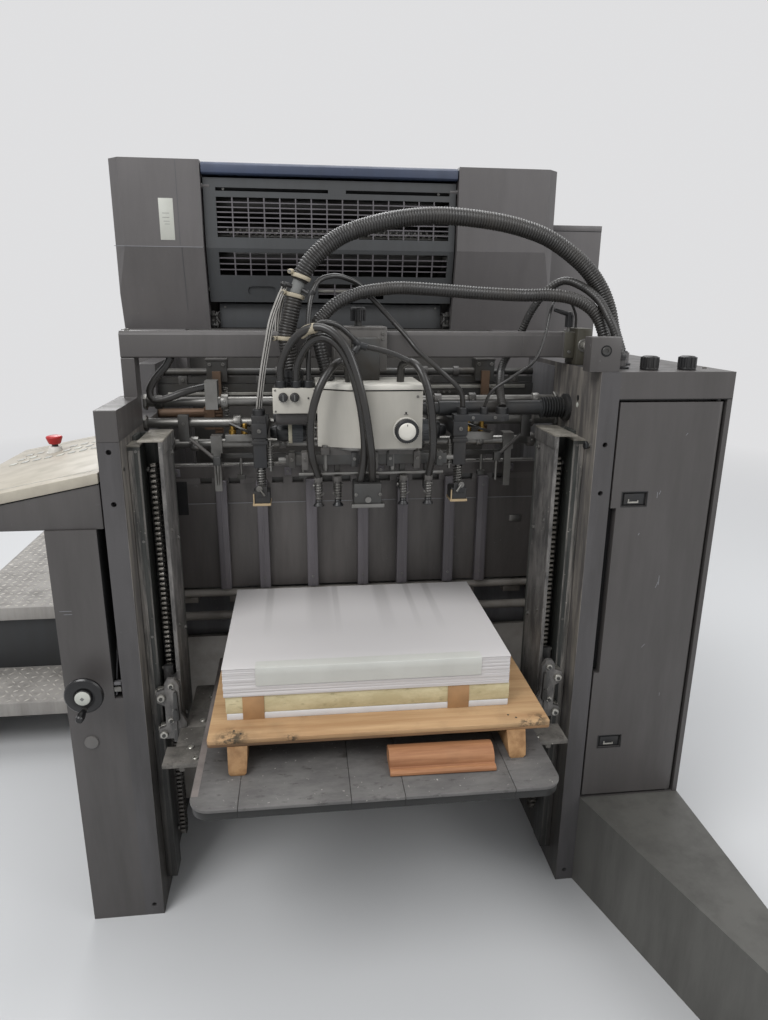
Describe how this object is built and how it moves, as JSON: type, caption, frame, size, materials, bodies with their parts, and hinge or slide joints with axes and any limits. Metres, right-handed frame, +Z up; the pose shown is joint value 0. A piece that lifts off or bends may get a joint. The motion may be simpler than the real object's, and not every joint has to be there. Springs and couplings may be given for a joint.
{
  "type": "sheet-fed offset printing press, feeder end, 74 cm class",
  "caption": "Sheet-fed offset printing press with pile feeder, suction head, one printing tower, delivery, operator platform and drive-side cabinet.",
  "frame": {"origin": "on the floor under the middle of the printing tower", "axes": "+Y along the paper travel from feeder to delivery, +Z up, +X towards the drive side"},
  "size_m": [2.308, 4.45, 1.938],
  "materials": {
    "dark_grey_paint": "satin",
    "plate_grey": "satin",
    "machine_steel": "satin",
    "light_housing": "satin",
    "blue_paint": "satin",
    "hose_rubber": "matte",
    "black_plastic": "satin",
    "red_plastic": "gloss",
    "wood": "matte",
    "paper": "matte"
  },
  "bodies": {
    "frame": {"frame_left": "dark_grey_paint", "frame_right": "dark_grey_paint", "left_cap": "dark_grey_paint", "right_cap": "dark_grey_paint", "cross_beam": "dark_grey_paint", "lift_columns": "machine_steel", "lift_chains": "machine_steel", "front_stop": "dark_grey_paint", "tie_rods": "machine_steel", "feed_board": "dark_grey_paint", "clamp_lever": "black_plastic", "head_hanger": "machine_steel", "head_housing": "light_housing", "valve_box": "light_housing", "head_shaft": "machine_steel", "shaft_couplings": "machine_steel", "head_rods": "machine_steel", "nozzles": "machine_steel", "side_blowers": "machine_steel", "cross_rails": "machine_steel", "side_racks": "machine_steel", "hose_large": "hose_rubber", "hose_medium": "hose_rubber", "hose_small": "hose_rubber", "hose_foot_left": "hose_rubber", "hose_foot_right": "hose_rubber", "hose_left": "hose_rubber", "hose_sucker_left": "hose_rubber", "hose_sucker_right": "hose_rubber", "cable_head": "hose_rubber", "cable_blower": "hose_rubber", "cable_thin": "hose_rubber", "operator_pedestal": "dark_grey_paint", "console_body": "dark_grey_paint", "console_top": "light_housing", "cabinet": "dark_grey_paint", "wedge_step": "dark_grey_paint", "tower_covers": "dark_grey_paint", "tower_top": "blue_paint", "ink_rollers": "machine_steel", "unit_body": "dark_grey_paint", "side_panels": "dark_grey_paint", "drive_housing": "plate_grey", "delivery_frames": "dark_grey_paint", "delivery_hood": "dark_grey_paint", "delivery_pile": "paper", "platform": "plate_grey"},
    "pile_lift": {"carriages": "machine_steel", "pile_board": "dark_grey_paint", "pallet": "wood", "pile_layer": "paper", "paper_pile": "paper", "wood_piece": "wood"},
    "door": {"cabinet_door": "dark_grey_paint"},
    "guard": {"tower_guard": "dark_grey_paint"},
    "hand_wheel": {"handwheel": "black_plastic"},
    "dial": {"head_dial": "black_plastic"},
    "knob_left": {"cabinet_knob_left": "black_plastic"},
    "knob_right": {"cabinet_knob_right": "black_plastic"},
    "button": {"stop_button": "red_plastic"}
  },
  "joints": [
    {"name": "pile_lift_slide", "type": "slide", "parent": "frame", "child": "pile_lift", "axis": [0, 0, 1], "range_m": [-0.4, 0.23]},
    {"name": "cabinet_door_hinge", "type": "hinge", "parent": "frame", "child": "door", "pos_m": [0.818, -1.489, 0.7], "axis": [0, 0, 1], "range_deg": [0, 90]},
    {"name": "guard_hinge", "type": "hinge", "parent": "frame", "child": "guard", "pos_m": [0, -0.622, 1.868], "axis": [-1, 0, 0], "range_deg": [0, 75]},
    {"name": "handwheel_spindle", "type": "hinge", "parent": "frame", "child": "hand_wheel", "pos_m": [-0.642, -1.54, 0.677], "axis": [0, 1, 0], "continuous": true},
    {"name": "head_dial_spindle", "type": "hinge", "parent": "frame", "child": "dial", "pos_m": [0.096, -1.453, 1.251], "axis": [0, 1, 0], "range_deg": [-150, 150]},
    {"name": "cabinet_knob_left_spindle", "type": "hinge", "parent": "frame", "child": "knob_left", "pos_m": [0.663, -1.445, 1.4], "axis": [0, 0, 1], "range_deg": [-135, 135]},
    {"name": "cabinet_knob_right_spindle", "type": "hinge", "parent": "frame", "child": "knob_right", "pos_m": [0.755, -1.445, 1.4], "axis": [0, 0, 1], "range_deg": [-135, 135]},
    {"name": "stop_button_slide", "type": "slide", "parent": "frame", "child": "button", "axis": [0, 0, -1], "range_m": [0, 0.006], "stiffness_N_per_m": 800, "springref_m": -0.004}
  ]
}
